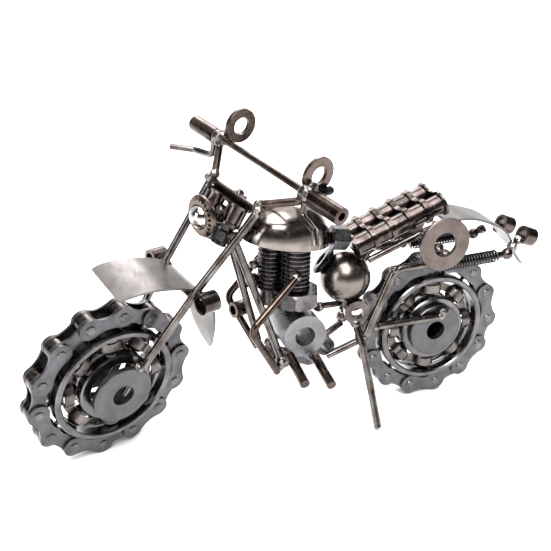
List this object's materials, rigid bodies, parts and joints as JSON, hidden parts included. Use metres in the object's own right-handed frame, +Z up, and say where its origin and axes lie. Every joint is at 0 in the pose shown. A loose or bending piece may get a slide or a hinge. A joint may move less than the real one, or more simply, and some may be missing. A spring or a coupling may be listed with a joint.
{
  "type": "motorcycle model",
  "caption": "Table-top motorcycle model welded from roller chain, ball bearings, washers, bolts and bent wire; wheels roll, handlebar steers.",
  "frame": {"origin": "bottom centre of the bounding box, on the ground the tyres stand on", "axes": "+X towards the front wheel, +Y to the rider's left where the side stand is, +Z up"},
  "size_m": [0.2128, 0.0844, 0.1236],
  "materials": {
    "rear_chain_inner_links": "satin",
    "rear_chain_outer_plates": "satin",
    "rear_chain_rollers": "satin",
    "rear_chain_pins": "satin",
    "rear_chain_welds": "satin",
    "rear_bearing_outer_ring": "satin",
    "rear_bearing_inner_ring": "satin",
    "rear_bearing_balls": "polished",
    "rear_bearing_cage": "satin",
    "rear_hub_washers": "satin",
    "front_chain_inner_links": "satin",
    "front_chain_outer_plates": "satin",
    "front_chain_rollers": "satin",
    "front_chain_pins": "satin",
    "front_chain_welds": "satin",
    "front_bearing_outer_ring": "satin",
    "front_bearing_inner_ring": "satin",
    "front_bearing_balls": "polished",
    "front_bearing_cage": "satin",
    "front_hub_washers": "satin",
    "head_link": "satin",
    "head_link_rollers": "satin",
    "steering_pin": "satin",
    "head_stud": "satin",
    "fork_legs": "satin",
    "handlebar": "satin",
    "grips": "satin",
    "mirror_washers": "satin",
    "mirror_stems": "satin",
    "levers": "satin",
    "headlamp_ring": "satin",
    "headlamp_ball": "polished",
    "headlamp_stem": "satin",
    "front_fender": "satin",
    "rear_fender": "satin",
    "fork_cross_bars": "satin",
    "front_signals": "satin",
    "down_tubes": "satin",
    "lower_rails": "satin",
    "seat_loops": "satin",
    "swing_arms": "satin",
    "crash_bars": "satin",
    "skid_link": "satin",
    "foot_pegs": "satin",
    "crankcase": "satin",
    "fuel_tank": "polished",
    "cylinder_bolts": "satin",
    "engine_ball": "polished",
    "ball_ring": "satin",
    "frame_nuts": "satin",
    "side_stand": "satin",
    "seat_links": "satin",
    "seat_rollers": "satin",
    "seat_rails": "satin",
    "side_washers": "satin",
    "shock_springs": "satin",
    "shock_bolts": "satin",
    "frame_tubes": "satin",
    "frame_welds": "satin",
    "fork_welds": "satin"
  },
  "bodies": {
    "frame": {"rear_bearing_inner_ring": "rear_bearing_inner_ring", "rear_hub_washers": "rear_hub_washers", "rear_fender": "rear_fender", "down_tubes": "down_tubes", "lower_rails": "lower_rails", "seat_loops": "seat_loops", "swing_arms": "swing_arms", "crash_bars": "crash_bars", "skid_link": "skid_link", "foot_pegs": "foot_pegs", "crankcase": "crankcase", "fuel_tank": "fuel_tank", "cylinder_bolts": "cylinder_bolts", "engine_ball": "engine_ball", "ball_ring": "ball_ring", "frame_nuts": "frame_nuts", "side_stand": "side_stand", "seat_links": "seat_links", "seat_rollers": "seat_rollers", "seat_rails": "seat_rails", "side_washers": "side_washers", "shock_springs": "shock_springs", "shock_bolts": "shock_bolts", "frame_tubes": "frame_tubes", "frame_welds": "frame_welds"},
    "fork": {"front_bearing_inner_ring": "front_bearing_inner_ring", "front_hub_washers": "front_hub_washers", "head_link": "head_link", "head_link_rollers": "head_link_rollers", "steering_pin": "steering_pin", "head_stud": "head_stud", "fork_legs": "fork_legs", "handlebar": "handlebar", "grips": "grips", "mirror_washers": "mirror_washers", "mirror_stems": "mirror_stems", "levers": "levers", "headlamp_ring": "headlamp_ring", "headlamp_ball": "headlamp_ball", "headlamp_stem": "headlamp_stem", "front_fender": "front_fender", "fork_cross_bars": "fork_cross_bars", "front_signals": "front_signals", "fork_welds": "fork_welds"},
    "front_wheel": {"front_chain_inner_links": "front_chain_inner_links", "front_chain_outer_plates": "front_chain_outer_plates", "front_chain_rollers": "front_chain_rollers", "front_chain_pins": "front_chain_pins", "front_chain_welds": "front_chain_welds", "front_bearing_outer_ring": "front_bearing_outer_ring"},
    "front_cage": {"front_bearing_balls": "front_bearing_balls", "front_bearing_cage": "front_bearing_cage"},
    "rear_wheel": {"rear_chain_inner_links": "rear_chain_inner_links", "rear_chain_outer_plates": "rear_chain_outer_plates", "rear_chain_rollers": "rear_chain_rollers", "rear_chain_pins": "rear_chain_pins", "rear_chain_welds": "rear_chain_welds", "rear_bearing_outer_ring": "rear_bearing_outer_ring"},
    "rear_cage": {"rear_bearing_balls": "rear_bearing_balls", "rear_bearing_cage": "rear_bearing_cage"}
  },
  "joints": [
    {"name": "steering", "type": "hinge", "parent": "frame", "child": "fork", "pos_m": [0.02838, -0.00054, 0.0836], "axis": [-0.4726, 0, 0.8813], "range_deg": [-57, 11]},
    {"name": "front_wheel_spin", "type": "hinge", "parent": "fork", "child": "front_wheel", "pos_m": [0.07459, 0.00644, 0.03253], "axis": [-0.3415, 0.9219, -0.1831], "continuous": true},
    {"name": "front_cage_spin", "type": "hinge", "parent": "fork", "child": "front_cage", "pos_m": [0.07459, 0.00644, 0.03253], "axis": [-0.3415, 0.9219, -0.1831], "continuous": true},
    {"name": "rear_wheel_spin", "type": "hinge", "parent": "frame", "child": "rear_wheel", "pos_m": [-0.06117, -0.00054, 0.03319], "axis": [0, 1, 0], "continuous": true},
    {"name": "rear_cage_spin", "type": "hinge", "parent": "frame", "child": "rear_cage", "pos_m": [-0.06117, -0.00054, 0.03319], "axis": [0, 1, 0], "continuous": true}
  ],
  "couplings": [
    {"joint": "front_cage_spin", "follows": "front_wheel_spin", "ratio": 0.6147},
    {"joint": "rear_cage_spin", "follows": "rear_wheel_spin", "ratio": 0.6147}
  ]
}
